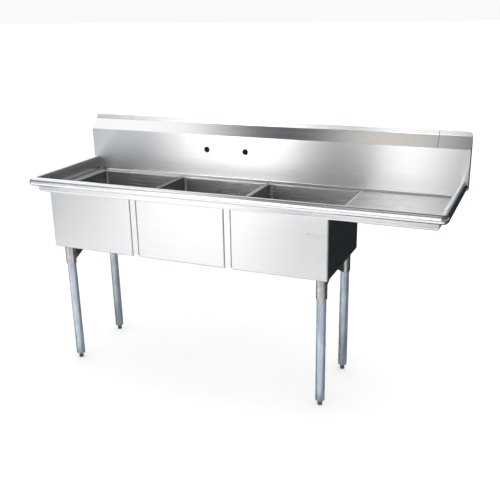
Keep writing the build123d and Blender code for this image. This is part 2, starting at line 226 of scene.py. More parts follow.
class Recipe(Nodes):
    """A material with one Principled shader."""

    def __init__(self, name: str) -> None:
        """Start an empty material of this name."""
        self.material = bpy.data.materials.new(name)
        self.material.use_nodes = True
        super().__init__(self.material.node_tree)
        self.shader = self.tree.nodes["Principled BSDF"]

    def coordinates(self, source: Socket, scale: Sequence[float]) -> Socket:
        """Coordinates, scaled on each axis.

        Args:
            source: the coordinates.
            scale: pattern cells per metre on each axis.

        Returns:
            The mapped coordinates.
        """
        mapping = self.node("Mapping")
        mapping.inputs["Scale"].default_value = tuple(scale)
        self.join(source, mapping.inputs["Vector"])
        return mapping.outputs["Vector"]

    def grain_coordinates(self, along: float, across: float) -> Socket:
        """Coordinates of the brushing, with cells per metre along and across the grain."""
        return self.coordinates(self.node("UVMap", uv_map=GRAIN_MAP).outputs["UV"], (along, across, 1.0))

    def object_coordinates(self, scale: Sequence[float]) -> Socket:
        """Object coordinates, with cells per metre on x, y and z."""
        return self.coordinates(self.node("TexCoord").outputs["Object"], scale)

    def noise(self, vector: Socket, detail: float = 3.0,
              roughness: float = 0.55) -> Socket:
        """Noise over mapped coordinates.

        Args:
            vector: the mapped coordinates.
            detail: octaves of finer noise.
            roughness: weight of the finer octaves.

        Returns:
            The noise's value.
        """
        made = self.node("TexNoise")
        made.inputs["Scale"].default_value = 1.0
        made.inputs["Detail"].default_value = detail
        made.inputs["Roughness"].default_value = roughness
        self.join(vector, made.inputs["Vector"])
        return made.outputs["Fac"]

    def add(self, first: Socket, second: Socket) -> Socket:
        """The sum of two varying values."""
        made = self.node("Math", operation="ADD")
        self.join(first, made.inputs[0])
        self.join(second, made.inputs[1])
        return made.outputs[0]

    def blend(self, factor: Socket, dark: Tone, light: Tone) -> Socket:
        """Two tones mixed by a varying factor.

        Args:
            factor: 0 gives dark, 1 gives light.
            dark: the first tone.
            light: the second tone.

        Returns:
            The mixed colour.
        """
        ramp = self.node("ValToRGB")
        for element, tone in zip(ramp.color_ramp.elements, (dark, light)):
            element.color = colour(tone)
        self.join(factor, ramp.inputs["Fac"])
        return ramp.outputs["Color"]

    def relief(self, layers: Iterable[tuple[Socket, float, float]]) -> None:
        """Put bumps on the surface.

        Args:
            layers: a height, a strength and a distance in metres for each bump.
        """
        below = None
        for height, strength, distance in layers:
            bump = self.node("Bump")
            bump.inputs["Strength"].default_value = strength
            bump.inputs["Distance"].default_value = distance
            self.join(height, bump.inputs["Height"])
            if below is not None:
                self.join(below, bump.inputs["Normal"])
            below = bump.outputs["Normal"]
        self.feed(Normal=below)

    def feed(self, **sources: Socket) -> None:
        """Join varying values to the shader's own sockets; an underscore stands for a space."""
        for name, source in sources.items():
            self.join(source, self.shader.inputs[name.replace("_", " ")])

    def set(self, **values: object) -> None:
        """Set the shader's own sockets; an underscore stands for a space."""
        for name, value in values.items():
            self.shader.inputs[name.replace("_", " ")].default_value = value


@dataclass(frozen=True)
class BrushedStainless:
    """Cold-rolled stainless sheet with a belt-brushed face."""

    name: str
    dark: Tone = (0.735, 0.74, 0.745)
    light: Tone = (0.795, 0.80, 0.805)
    roughness: float = 0.30
    scatter: float = 0.04
    stretch: float = 0.75
    scratch: float = 0.05
    waviness: float = 0.0010
    metallic: float = 1.0

    def material(self) -> bpy.types.Material:
        """Build the node tree."""
        recipe = Recipe(self.name)
        hairlines = recipe.noise(recipe.grain_coordinates(7.0, 900.0), 2.0)
        streaks = recipe.noise(recipe.grain_coordinates(1.3, 130.0), 4.0, 0.62)
        handling = recipe.noise(recipe.object_coordinates((4.0, 4.0, 5.0)), 5.0, 0.6)
        waves = recipe.noise(recipe.object_coordinates((2.1, 2.1, 2.6)), 1.0)
        tone = recipe.add(recipe.spread(streaks, 0.0, 0.62), recipe.spread(handling, 0.0, 0.38))
        recipe.feed(Base_Color=recipe.blend(tone, self.dark, self.light))
        shine = recipe.add(
            recipe.spread(streaks, self.roughness - self.scatter / 2, self.roughness + self.scatter / 2),
            recipe.spread(handling, -self.scatter / 3, self.scatter / 3))
        recipe.feed(Roughness=shine)
        recipe.relief([(waves, 1.0, self.waviness), (hairlines, self.scratch, 0.00006)])
        tangent = recipe.node("Tangent", direction_type="UV_MAP", uv_map=GRAIN_MAP)
        recipe.feed(Tangent=tangent.outputs["Tangent"])
        recipe.set(Metallic=self.metallic, Anisotropic=self.stretch, Anisotropic_Rotation=0.25)
        return recipe.material


@dataclass(frozen=True)
class GalvanisedTube:
    """Drawn tube with a zinc coat: soft spangle, runs down the tube and a few stains."""

    name: str
    dark: Tone
    light: Tone
    roughness: float

    def material(self) -> bpy.types.Material:
        """Build the node tree."""
        recipe = Recipe(self.name)
        runs = recipe.noise(recipe.object_coordinates((170.0, 170.0, 4.0)), 3.0, 0.6)
        spangle = recipe.node("TexVoronoi")
        spangle.inputs["Scale"].default_value = 1.0
        recipe.join(recipe.object_coordinates((210.0, 210.0, 120.0)), spangle.inputs["Vector"])
        stains = recipe.noise(recipe.object_coordinates((30.0, 30.0, 14.0)), 4.0, 0.65)
        tone = recipe.add(recipe.spread(runs, 0.0, 0.7), recipe.spread(stains, -0.2, 0.45, 0.25, 0.6))
        recipe.feed(Base_Color=recipe.blend(tone, self.dark, self.light))
        shine = recipe.add(recipe.spread(runs, self.roughness - 0.06, self.roughness + 0.08),
                           recipe.spread(spangle.outputs["Distance"], -0.05, 0.05, 0.0, 0.8))
        recipe.feed(Roughness=shine)
        recipe.relief([(runs, 0.25, 0.0002), (spangle.outputs["Distance"], 0.06, 0.0001)])
        recipe.set(Metallic=0.72)
        return recipe.material


@dataclass(frozen=True)
class Grained:
    """A surface with one grain size: castings, satin machining, rubber, fibre and mouldings."""

    name: str
    dark: Tone
    light: Tone
    roughness: float
    metallic: float
    cells: float = 600.0
    depth: float = 0.0001
    strength: float = 0.2

    def material(self) -> bpy.types.Material:
        """Build the node tree."""
        recipe = Recipe(self.name)
        grain = recipe.noise(recipe.object_coordinates((self.cells,) * 3), 3.0, 0.6)
        patches = recipe.noise(recipe.object_coordinates((self.cells / 25,) * 3), 4.0, 0.6)
        tone = recipe.add(recipe.spread(grain, 0.0, 0.35), recipe.spread(patches, 0.0, 0.65))
        recipe.feed(Base_Color=recipe.blend(tone, self.dark, self.light))
        recipe.feed(Roughness=recipe.spread(patches, self.roughness - 0.07, self.roughness + 0.07))
        recipe.relief([(grain, self.strength, self.depth)])
        recipe.set(Metallic=self.metallic)
        return recipe.material


SPLASH_STEEL = BrushedStainless("splash_steel", (0.78, 0.785, 0.79), (0.85, 0.855, 0.86),
                                stretch=1.0, scratch=0.07, waviness=0.0006)
# Darker copy of the splash steel for the splash's cove: painted shade in the bend.
COVE_PAINTED_SHADE = BrushedStainless("cove_painted_shade", (0.58, 0.585, 0.59), (0.68, 0.685, 0.69), 0.20,
                              stretch=0.1, waviness=0.0003)
RETURN_STEEL = BrushedStainless("return_steel", roughness=0.18, stretch=0.5, waviness=0.0006)
BOWL_STEEL = BrushedStainless("bowl_steel", roughness=0.29, scatter=0.03, scratch=0.03, waviness=0.0005)
# Lighter, partly diffuse copy of the bowl steel for the inner faces of the bowls: painted light.
INSIDE_PAINTED_LIGHT = BrushedStainless("inside_painted_light", (0.86, 0.87, 0.88), (0.93, 0.935, 0.94), 0.26,
                                waviness=0.0004, metallic=0.92)
# Darker copy of the bowl steel for the side walls inside each bowl: painted shade.
SIDE_WALL_SHADE = BrushedStainless("side_wall_painted_shade", (0.36, 0.365, 0.37), (0.46, 0.46, 0.465), 0.26,
                              waviness=0.0004)
# Near-black copy of the deck steel for the lands between the bowls: painted dark reflection.
LAND_PAINTED_SHADE = BrushedStainless("land_painted_shade", 0.11, 0.17, 0.24)
# Lighter, partly diffuse copy of the deck steel for the left ledge of the deck: painted light.
LEDGE_PAINTED_LIGHT = Grained("ledge_painted_light", (0.80, 0.81, 0.82), (0.92, 0.925, 0.93), 0.42, 0.6, 900.0)
DECK_STEEL = BrushedStainless("deck_steel", light=0.83, roughness=0.27)
ROLL_STEEL = BrushedStainless("roll_steel", (0.82, 0.825, 0.83), (0.93, 0.935, 0.94), 0.24, stretch=0.35,
                              waviness=0.0003)
STRIP_STEEL = BrushedStainless("strip_steel", roughness=0.32, waviness=0.0004)
CHANNEL_STEEL = BrushedStainless("channel_steel", dark=0.5, roughness=0.38)
WELD_STEEL = Grained("weld_steel", (0.52, 0.50, 0.48), (0.86, 0.83, 0.80), 0.30, 1.0, 900.0)
# Near-white, mostly diffuse finish for the drainboard's ground seam: the seam is real, its brightness is a
# painted highlight.
SEAM_AND_PAINTED_HIGHLIGHT = Grained("seam_and_painted_highlight", (0.92, 0.915, 0.91), (0.99, 0.985, 0.98), 0.50, 0.1, 900.0)
# Near-black: painted shade in the splice gap and along the edges of the filler strips.
GAP_PAINTED_SHADE = Grained("gap_painted_shade", 0.05, (0.16, 0.15, 0.14), 0.55, 0.8, 900.0)
SOCKET_STEEL = Grained("socket_satin", (0.44, 0.42, 0.415), (0.74, 0.70, 0.69), 0.27, 0.97, 800.0)
BRACE_STEEL = Grained("brace_plate", (0.07, 0.08, 0.085), (0.20, 0.22, 0.225), 0.42, 0.9, 500.0)
LEG_ZINC = GalvanisedTube("leg_zinc", (0.30, 0.37, 0.44), (0.66, 0.73, 0.80), 0.36)
INSERT_ZINC = GalvanisedTube("insert_zinc", (0.28, 0.32, 0.36), (0.60, 0.64, 0.68), 0.42)
FOOT_RESIN = Grained("foot_resin", (0.045, 0.05, 0.06), (0.12, 0.13, 0.15), 0.45, 0.0, 900.0)
SCREW_ZINC = Grained("screw_zinc", 0.38, (0.62, 0.62, 0.61), 0.30, 1.0, 1500.0)
DRAIN_STEEL = BrushedStainless("drain_steel", (0.68, 0.68, 0.67), (0.88, 0.87, 0.86), 0.17, 0.06,
                               0.2, 0.05, 0.0)
NUT_CASTING = Grained("nut_casting", (0.40, 0.40, 0.395), (0.66, 0.66, 0.65), 0.44, 0.9, 1200.0,
                      0.0002, 0.35)
DRAIN_RUBBER = Grained("drain_rubber", 0.018, 0.05, 0.62, 0.0, 1500.0)
DRAIN_FIBRE = Grained("drain_fibre", (0.30, 0.12, 0.07), (0.52, 0.26, 0.17), 0.75, 0.0, 1200.0,
                      0.0002, 0.4)


# ---------------------------------------------------------------- mesh craft


class Pen:
    """Draws a chain of edges in one plane of a bmesh."""

    def __init__(self, bm: BMesh, start: Point, origin: Vector, across: Vector, up: Vector) -> None:
        """Put the pen down.

        Args:
            bm: the mesh to draw in.
            start: first point, as (across, up) from the origin.
            origin: the plane's origin.
            across: the plane's first direction.
            up: the plane's second direction.
        """
        self.bm = bm
        self.origin, self.across, self.up = origin, across, up
        self.tip = bm.verts.new(self.place(start))

    def place(self, point: Point) -> Vector:
        """The plane's point in space."""
        return self.origin + self.across * point[0] + self.up * point[1]

    def line(self, *points: Point) -> "Pen":
        """Draw straight to each point in turn."""
        for point in points:
            grown = bmesh.ops.extrude_vert_indiv(self.bm, verts=[self.tip])["verts"]
            self.tip = grown[0]
            self.tip.co = self.place(point)
        return self

    def arc(self, centre: Point, degrees: float, steps: int) -> "Pen":
        """Draw round a centre, anticlockwise where degrees is positive.

        Args:
            centre: the arc's centre, as (across, up).
            degrees: how far to turn.
            steps: edges along the arc.

        Returns:
            The pen itself.
        """
        turned = bmesh.ops.spin(self.bm, geom=[self.tip], cent=self.place(centre),
                                axis=self.across.cross(self.up), angle=math.radians(degrees),
                                steps=steps, use_duplicate=False)
        self.tip = next(g for g in turned["geom_last"] if isinstance(g, BMVert))
        return self


def run(bm: BMesh, edges: Sequence[BMEdge], by: Vector) -> list[BMEdge]:
    """Extrude an edge chain.

    Args:
        bm: the mesh.
        edges: the chain.
        by: how far, and which way.

    Returns:
        The chain at the far end.
    """
    grown = bmesh.ops.extrude_edge_only(bm, edges=list(edges))["geom"]
    bmesh.ops.translate(bm, vec=by, verts=[g for g in grown if isinstance(g, BMVert)])
    return [g for g in grown if isinstance(g, BMEdge)]


def edges_where(bm: BMesh, test: Callable[[Vector], bool]) -> list[BMEdge]:
    """The edges whose ends both pass a test of where they are."""
    return [e for e in bm.edges if all(test(v.co) for v in e.verts)]


def round_corners(bm: BMesh, verts: Sequence[BMVert], radius: float, steps: int) -> None:
    """Round some corners of a chain or a plate.

    Args:
        bm: the mesh.
        verts: the corners.
        radius: how far back the rounding starts.
        steps: edges along each rounding.
    """
    bmesh.ops.bevel(bm, geom=list(verts), offset=radius, offset_type="OFFSET", segments=steps,
                    profile=0.5, affect="VERTICES", material=-1)


def plate(origin: Vector, outline: Sequence[Point]) -> BMesh:
    """Draw a flat plate across the row.

    Args:
        origin: a point of its plane, on the row's axis.
        outline: (y, z) points, in order.

    Returns:
        The plate.
    """
    bm = bmesh.new()
    pen = Pen(bm, outline[0], origin, Y, Z)
    first = pen.tip
    pen.line(*outline[1:])
    bm.edges.new((pen.tip, first))
    bmesh.ops.contextual_create(bm, geom=list(bm.edges))
    return bm


@dataclass(frozen=True)
class Hoop:
    """One loop of a bowl or a deck opening: a rounded rectangle, or a circle."""

    middle: Point
    half: Point
    front: float
    rear: float
    height: float
    corner_steps: int = 6
    side_steps: int = 10

    def points(self) -> list[Vector]:
        """The loop's points, anticlockwise from the right-hand rear corner."""
        arcs = []
        signs = ((1, 1, self.rear), (-1, 1, self.rear), (-1, -1, self.front), (1, -1, self.front))
        for quarter, (sx, sy, radius) in enumerate(signs):
            cx = self.middle[0] + sx * (self.half[0] - radius)
            cy = self.middle[1] + sy * (self.half[1] - radius)
            turns = [math.radians(90 * (quarter + i / self.corner_steps))
                     for i in range(self.corner_steps + 1)]
            arcs.append([Vector((cx + radius * math.cos(a), cy + radius * math.sin(a), self.height))
                         for a in turns])
        found: list[Vector] = []
        for arc, following in zip(arcs, arcs[1:] + arcs[:1]):
            found += arc
            found += [arc[-1].lerp(following[0], i / self.side_steps) for i in range(1, self.side_steps)]
        return found

    def circle(self, radius: float, height: float) -> list[Vector]:
        """Points of a circle that pair with the loop's points.

        Args:
            radius: the circle's radius.
            height: the circle's height.

        Returns:
            One point for each of the loop's points.
        """
        square = Hoop((0.0, 0.0), (1.0, 1.0), 0.35, 0.35, 0.0, self.corner_steps, self.side_steps)
        return [Vector((*self.middle, height)) + p.normalized() * radius for p in square.points()]


def place(ring: Sequence[BMVert], points: Sequence[Vector]) -> None:
    """Put a ring's vertices on some points, one for one."""
    for vert, point in zip(ring, points):
        vert.co = point


def open_ring(bm: BMesh, points: Sequence[Vector]) -> list[BMVert]:
    """Start a closed ring through some points."""
    ring = bmesh.ops.create_circle(bm, segments=len(points), radius=1.0)["verts"]
    place(ring, points)
    return ring


def grow(bm: BMesh, ring: Sequence[BMVert], points: Sequence[Vector]) -> list[BMVert]:
    """Extrude a closed ring and put the new ring on some points.

    Args:
        bm: the mesh.
        ring: the ring's vertices in order.
        points: where the new ring goes.

    Returns:
        The new ring, in the same order.
    """
    pairs = zip(ring, [*ring[1:], ring[0]])
    grown = bmesh.ops.extrude_edge_only(bm, edges=[bm.edges.get(pair) for pair in pairs])["geom"]
    fresh = {g for g in grown if isinstance(g, BMVert)}
    following = [next(e.other_vert(v) for e in v.link_edges if e.other_vert(v) in fresh) for v in ring]
    place(following, points)
    return following


def lay_grid(bm: BMesh, low: Point, high: Point, height: float, segments: int = 1) -> None:
    """Lay a flat plate between two corners.

    Args:
        bm: the mesh.
        low: the corner with the least x and y.
        high: the corner with the most.
        height: how high it lies.
        segments: faces along each side.
    """
    span, middle = Vector(high) - Vector(low), (Vector(high) + Vector(low)) / 2
    bmesh.ops.create_grid(bm, x_segments=segments, y_segments=segments, size=0.5,
                          matrix=Matrix.Translation((*middle, height)) @ Matrix.Diagonal((*span, 1, 1)))


def lathe(bm: BMesh, outline: Sequence[Point], axis: Point, steps: int, rounding: float = 0.4) -> None:
    """Turn a closed outline about an upright axis.

    Args:
        bm: the mesh.
        outline: (radius, height) points of the section, in order.
        axis: where the axis stands, as (x, y).
        steps: sides of the turned piece.
        rounding: radius on every corner of the section that is off the axis.
    """
    pen = Pen(bm, outline[0], Vector((*axis, 0.0)), X, Z)
    first = pen.tip
    pen.line(*outline[1:])
    drawn = [first, *[v for v in bm.verts if v is not first and v.is_valid]]
    if outline[0][0]:
        bm.edges.new((pen.tip, first))
    if rounding:
        corners = [v for v in drawn if len(v.link_edges) == 2 and v.co.x - axis[0] > rounding]
        round_corners(bm, corners, rounding, 2)
    bmesh.ops.spin(bm, geom=[*bm.verts, *bm.edges], cent=(*axis, 0.0), axis=(0, 0, 1),
                   angle=math.tau, steps=steps, use_merge=True, use_duplicate=False)


def bead(bm: BMesh, middle: Vector, radius: float, thickness: float, ripples: int) -> None:
    """A closed weld bead round an upright tube.

    Args:
        bm: the mesh.
        middle: the bead's centre.
        radius: the tube's radius.
        thickness: radius of the bead's section.
        ripples: ripples round the bead.
    """
    section = bmesh.ops.create_circle(bm, segments=8, radius=thickness,
                                      matrix=Matrix.Translation(middle + Vector((radius, 0, 0)))
                                      @ Matrix.Rotation(math.radians(90), 4, "X"))["verts"]
    edges = {e for v in section for e in v.link_edges}
    bmesh.ops.spin(bm, geom=[*section, *edges], cent=middle, axis=(0, 0, 1), angle=math.tau,
                   steps=2 * ripples, use_merge=True, use_duplicate=False)
    for vert in bm.verts:
        arm = vert.co - middle
        turn = math.atan2(arm.y, arm.x)
        vert.co += Vector((arm.x, arm.y, 0)).normalized() * 0.16 * thickness * math.cos(ripples * turn)


def bring_in(name: str, bm: BMesh) -> bpy.types.Object:
    """Make a bmesh into an object of the scene, and free it.

    Args:
        name: the object's name.
        bm: the mesh.

    Returns:
        The object.
    """
    mesh = bpy.data.meshes.new(name)
    bm.to_mesh(mesh)
    bm.free()
    obj = bpy.data.objects.new(name, mesh)
    bpy.context.scene.collection.objects.link(obj)
    return obj


@dataclass
class Workshop:
    """Turns finished bmeshes into pieces of the frame."""

    frame: dict
    corner: Vector
    materials: dict[str, bpy.types.Material] = field(default_factory=dict)

    @property
    def to_frame(self) -> Matrix:
        """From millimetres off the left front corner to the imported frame."""
        return Matrix.Translation(self.corner) @ Matrix.Scale(MILLIMETRE, 4)

    def dress(self, obj: bpy.types.Object, finishes: Sequence[object]) -> None:
        """Give an object its finishes, each built once and shared."""
        for finish in finishes:
            if finish.name not in self.materials:
                self.materials[finish.name] = finish.material()
            obj.data.materials.append(self.materials[finish.name])

    def brush(self, bm: BMesh, grain: Grain) -> None:
        """Lay the map that the brushing follows, with u along the grain.

        Args:
            bm: the mesh, in metres.
            grain: the way the sheet was brushed.
        """
        layer = bm.loops.layers.uv.new(GRAIN_MAP)
        spare = {Grain.ALONG_ROW: Grain.FRONT_TO_BACK, Grain.FRONT_TO_BACK: Grain.ALONG_ROW,
                 Grain.UPRIGHT: Grain.ALONG_ROW}[grain]
        for face in bm.faces:
            along = Vector(grain.value)
            if abs(along.dot(face.normal)) > 0.75:
                along = Vector(spare.value)
            along = (along - face.normal * along.dot(face.normal)).normalized()
            across = face.normal.cross(along)
            for loop in face.loops:
                loop[layer].uv = (loop.vert.co.dot(along), loop.vert.co.dot(across))

    def finish(self, name: str, bm: BMesh, finish: object, nodes: Sequence[str] = (),
               show: Optional[Vector] = None, gauge: float = 0.0, edge: float = 0.25,
               grain: Grain = Grain.ALONG_ROW, slot: str = STEEL_SLOT, body: str = FIXED_BODY,
               placed: bool = False, others: Sequence[object] = (), inside: int = 0) -> None:
        """Make a bmesh into a piece that rides on its body.

        Args:
            name: the piece's name.
            bm: the mesh; it is freed.
            finish: the piece's finish.
            nodes: the frame's nodes that the piece stands for.
            show: which way an open sheet's show face looks on the whole; None for a closed form.
            gauge: sheet thickness in millimetres, behind the show face.
            edge: width of the broken edge in millimetres.
            grain: the way the sheet was brushed.
            slot: not used.
            body: the body that the piece rides on.
            placed: True if the mesh is in the frame's own metres already.
            others: further finishes, for faces with a material index above 0.
            inside: how many finishes further on the sheet's hidden side takes its own from.
        """
        if not placed:
            bmesh.ops.remove_doubles(bm, verts=list(bm.verts), dist=0.004)
            bmesh.ops.dissolve_degenerate(bm, edges=list(bm.edges), dist=0.001)
            bmesh.ops.recalc_face_normals(bm, faces=list(bm.faces))
            if show is not None:
                facing = sum((f.normal * f.calc_area() for f in bm.faces), Vector())
                if facing.dot(show) < 0:
                    bmesh.ops.reverse_faces(bm, faces=list(bm.faces))
            bmesh.ops.transform(bm, matrix=self.to_frame, verts=list(bm.verts))
            bm.normal_update()
        self.brush(bm, grain)
        obj = bring_in(name, bm)
        obj.data.shade_smooth()
        obj.data.set_sharp_from_angle(angle=math.radians(SHARP_FROM))
        if gauge:
            wall = obj.modifiers.new("gauge", "SOLIDIFY")
            wall.thickness, wall.offset = gauge * MILLIMETRE, -1.0
            wall.use_even_offset, wall.material_offset = True, inside
        if edge and not placed:
            broken = obj.modifiers.new("broken_edges", "BEVEL")
            broken.width, broken.segments = edge * MILLIMETRE, 2
            broken.limit_method, broken.angle_limit = "ANGLE", math.radians(BROKEN_FROM)
        evened = obj.modifiers.new("even_shading", "WEIGHTED_NORMAL")
        evened.keep_sharp = True
        self.dress(obj, [finish, *others])
        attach(obj, body)
        if nodes:
            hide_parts(*nodes)
        LOG.info("%s: %d faces, stands for %s", name, len(obj.data.polygons),
                 ", ".join(nodes) or "nothing")

    def smoothed(self, node: str, finish: object, slot: str = STEEL_SLOT,
                 body: str = FIXED_BODY) -> None:
        """Stand a merged, smoothly shaded copy in for a small turned part of the frame.

        Args:
            node: the frame's node.
            finish: the piece's finish.
            slot: the record's material slot.
            body: the body that the piece rides on.
        """
        bm = bmesh.new()
        bm.from_mesh(self.frame["nodes"][node].data)
        bmesh.ops.remove_doubles(bm, verts=list(bm.verts), dist=1e-6)
        bm.normal_update()
        self.finish(f"{node}_part", bm, finish, [node], slot=slot, body=body, placed=True)


# ---------------------------------------------------------------- sub-assemblies


@dataclass(frozen=True)
class Plan:
    """Sizes that the sub-assemblies share, in millimetres from the left front corner."""

    length: float
    depth: float
    height: float
    deck_top: float = 869.2
    bowl_lefts: tuple[float, ...] = (86.8, 544.0, 1001.2)
    bowl_names: tuple[str, ...] = ("left", "middle", "right")
    bowl_width: float = 431.2
    bowl_front: float = 48.0
    bowl_back: float = 512.0
    bowl_bottom: float = 602.0
    rim_inset: float = 46.1
    seam: float = 1440.4
    splash_face: float = 548.0
    cove: float = 10.0
    lip_bend: float = 3.0

    @property
    def bowl_middle(self) -> float:
        """Middle of the bowls, front to back."""
        return (self.bowl_front + self.bowl_back) / 2

    @property
    def deck_back(self) -> float:
        """Where the flat of the deck meets the splash's cove."""
        return self.splash_face - self.cove


@dataclass(frozen=True)
class Bowl:
    """One bowl: drawn corners, a floor that falls in four facets, and the drain's recess."""

    plan: Plan
    index: int
    front_corner: float = 8.0
    rear_corner: float = 16.0
    border: float = 16.0
    fall: float = 6.0
    recess: float = 3.0
    recess_edge: tuple[Point, ...] = ((-1.5, 0.0), (0.0, 1.2), (0.6, 3.0))
    recess_radius: float = 60.2
    recess_cell: tuple[float, float, float] = (66.2, 4.0, 0.2)
    drain_radius: float = 44.45
    bend_steps: int = 6
    side_facing: float = 0.8

    def hoop(self, inset: float, height: float, take_in: float = 0.0) -> Hoop:
        """A loop of the bowl's outside.

        Args:
            inset: how far inside the bowl's box.
            height: the loop's height.
            take_in: how much smaller the corner radii are.

        Returns:
            The loop.
        """
        plan = self.plan
        middle = (plan.bowl_lefts[self.index] + plan.bowl_width / 2, plan.bowl_middle)
        half = (plan.bowl_width / 2 - inset, (plan.bowl_back - plan.bowl_front) / 2 - inset)
        return Hoop(middle, half, max(self.front_corner - take_in, 0.3),
                    max(self.rear_corner - take_in, 0.3), height)

    def build(self, shop: Workshop) -> None:
        """Draw the bowl from its drain hole outwards and up its walls."""
        bottom = self.plan.bowl_bottom
        low = bottom - self.fall
        flat = self.hoop(self.border, bottom, self.rear_corner)
        bm = bmesh.new()
        ring = open_ring(bm, flat.circle(self.drain_radius, low - self.recess))
        for past_recess, up in self.recess_edge:
            ring = grow(bm, ring, flat.circle(self.recess_radius + past_recess, low - self.recess + up))
        half, corner, rise = self.recess_cell
        square = Hoop(flat.middle, (half, half), corner, corner, low + rise)
        ring = grow(bm, ring, square.points())
        ring = grow(bm, ring, flat.points())
        bend = self.front_corner
        for step in range(self.bend_steps + 1):
            turn = math.radians(90 * step / self.bend_steps)
            inset = bend * (1 - math.sin(turn))
            ring = grow(bm, ring, self.hoop(inset, bottom + bend * (1 - math.cos(turn)), inset).points())
        grow(bm, ring, self.hoop(0.0, self.plan.deck_top - self.plan.lip_bend).points())
        bm.normal_update()
        # Side walls get index 2, so their inner face takes the darker copy (painted shade); the other inner
        # faces take the lighter copy (painted light).
        for face in bm.faces:
            face.material_index = 2 if abs(face.normal.x) > self.side_facing else 0
        name = self.plan.bowl_names[self.index]
        shop.finish(f"{name}_bowl_shell", bm, BOWL_STEEL, [f"bowl_{name}"],
                    show=-Z, gauge=GAUGE, others=(INSIDE_PAINTED_LIGHT, BOWL_STEEL, SIDE_WALL_SHADE), inside=1)


@dataclass(frozen=True)
class Deck:
    """The deck plate: its three openings turn down into the bowls."""

    plan: Plan
    turn_steps: int = 4
    land_reach: float = 17.0
    ledge_inset: float = 2.0

    def build(self, shop: Workshop) -> None:
        """Draw one cell round each opening and join the cells."""
        plan = self.plan
        gaps = [(a + plan.bowl_width + b) / 2 for a, b in zip(plan.bowl_lefts, plan.bowl_lefts[1:])]
        bounds = [plan.rim_inset, *gaps, plan.seam]
        bm = bmesh.new()
        for index, (left, right) in enumerate(zip(bounds, bounds[1:])):
            bowl = Bowl(plan, index)
            ring: list[BMVert] = []
            for step in range(self.turn_steps + 1):
                turn = math.radians(90 * step / self.turn_steps)
                out = plan.lip_bend * (1 - math.cos(turn))
                height = plan.deck_top - plan.lip_bend * (1 - math.sin(turn))
                points = bowl.hoop(GAUGE - out, height, GAUGE - out).points()
                ring = grow(bm, ring, points) if ring else open_ring(bm, points)
            cell = Hoop(((left + right) / 2, (plan.rim_inset + plan.deck_back) / 2),
                        ((right - left) / 2, (plan.deck_back - plan.rim_inset) / 2), 0.0, 0.0,
                        plan.deck_top)
            grow(bm, ring, cell.points())
        land_front, land_back = plan.bowl_front + Bowl.rear_corner, plan.bowl_back - Bowl.front_corner
        for face in bm.faces:
            x, y, _ = face.calc_center_median()
            # The left ledge takes index 2, a painted light.
            if x < plan.bowl_lefts[0] - self.ledge_inset and y > plan.bowl_front:
                face.material_index = 2
            # Faces on the lands between the openings take index 1, a painted dark reflection.
            elif land_front < y < land_back and any(abs(x - gap) < self.land_reach for gap in gaps):
                face.material_index = 1
        shop.finish("deck_sheet", bm, DECK_STEEL, ["deck"], show=Z, gauge=GAUGE, edge=0.15,
                    others=(LAND_PAINTED_SHADE, LEDGE_PAINTED_LIGHT))


@dataclass(frozen=True)
class Drainboard:
    """The plate right of the bowls, its ground seam, and the stiffener under it."""

    plan: Plan
    seam_width: float = 4.0
    seam_height: float = 0.5
    seam_steps: int = 60
    seam_wander: tuple[Point, ...] = ((0.25, 0.31), (0.15, 0.83))

    def build(self, shop: Workshop) -> None:
        """Draw the plate and the seam, and carry the stiffener over."""
        plan = self.plan
        right, back = plan.length - plan.rim_inset, plan.deck_back
        bm = bmesh.new()
        lay_grid(bm, (plan.seam, plan.rim_inset), (right, back), plan.deck_top, 8)
        shop.finish("drainboard_sheet", bm, DECK_STEEL, ["drainboard"], show=Z, gauge=GAUGE,
                    edge=0.15)

        bm = bmesh.new()
        half = self.seam_width / 2
        pen = Pen(bm, (-half, -0.2), Vector((plan.seam, plan.rim_inset + 2, plan.deck_top)), X, Z)
        pen.line((-half * 0.6, self.seam_height * 0.8), (0.0, self.seam_height),
                 (half * 0.6, self.seam_height * 0.8), (half, -0.2))
        chain = list(bm.edges)
        for _ in range(self.seam_steps):
            chain = run(bm, chain, Y * ((back - plan.rim_inset - 6) / self.seam_steps))
        for vert in bm.verts:
            vert.co.x += sum(reach * math.sin(vert.co.y * rate) for reach, rate in self.seam_wander)
        shop.finish("drainboard_seam", bm, SEAM_AND_PAINTED_HIGHLIGHT, show=Z, gauge=0.3, edge=0.0)
        shop.smoothed("drainboard_channel", CHANNEL_STEEL)


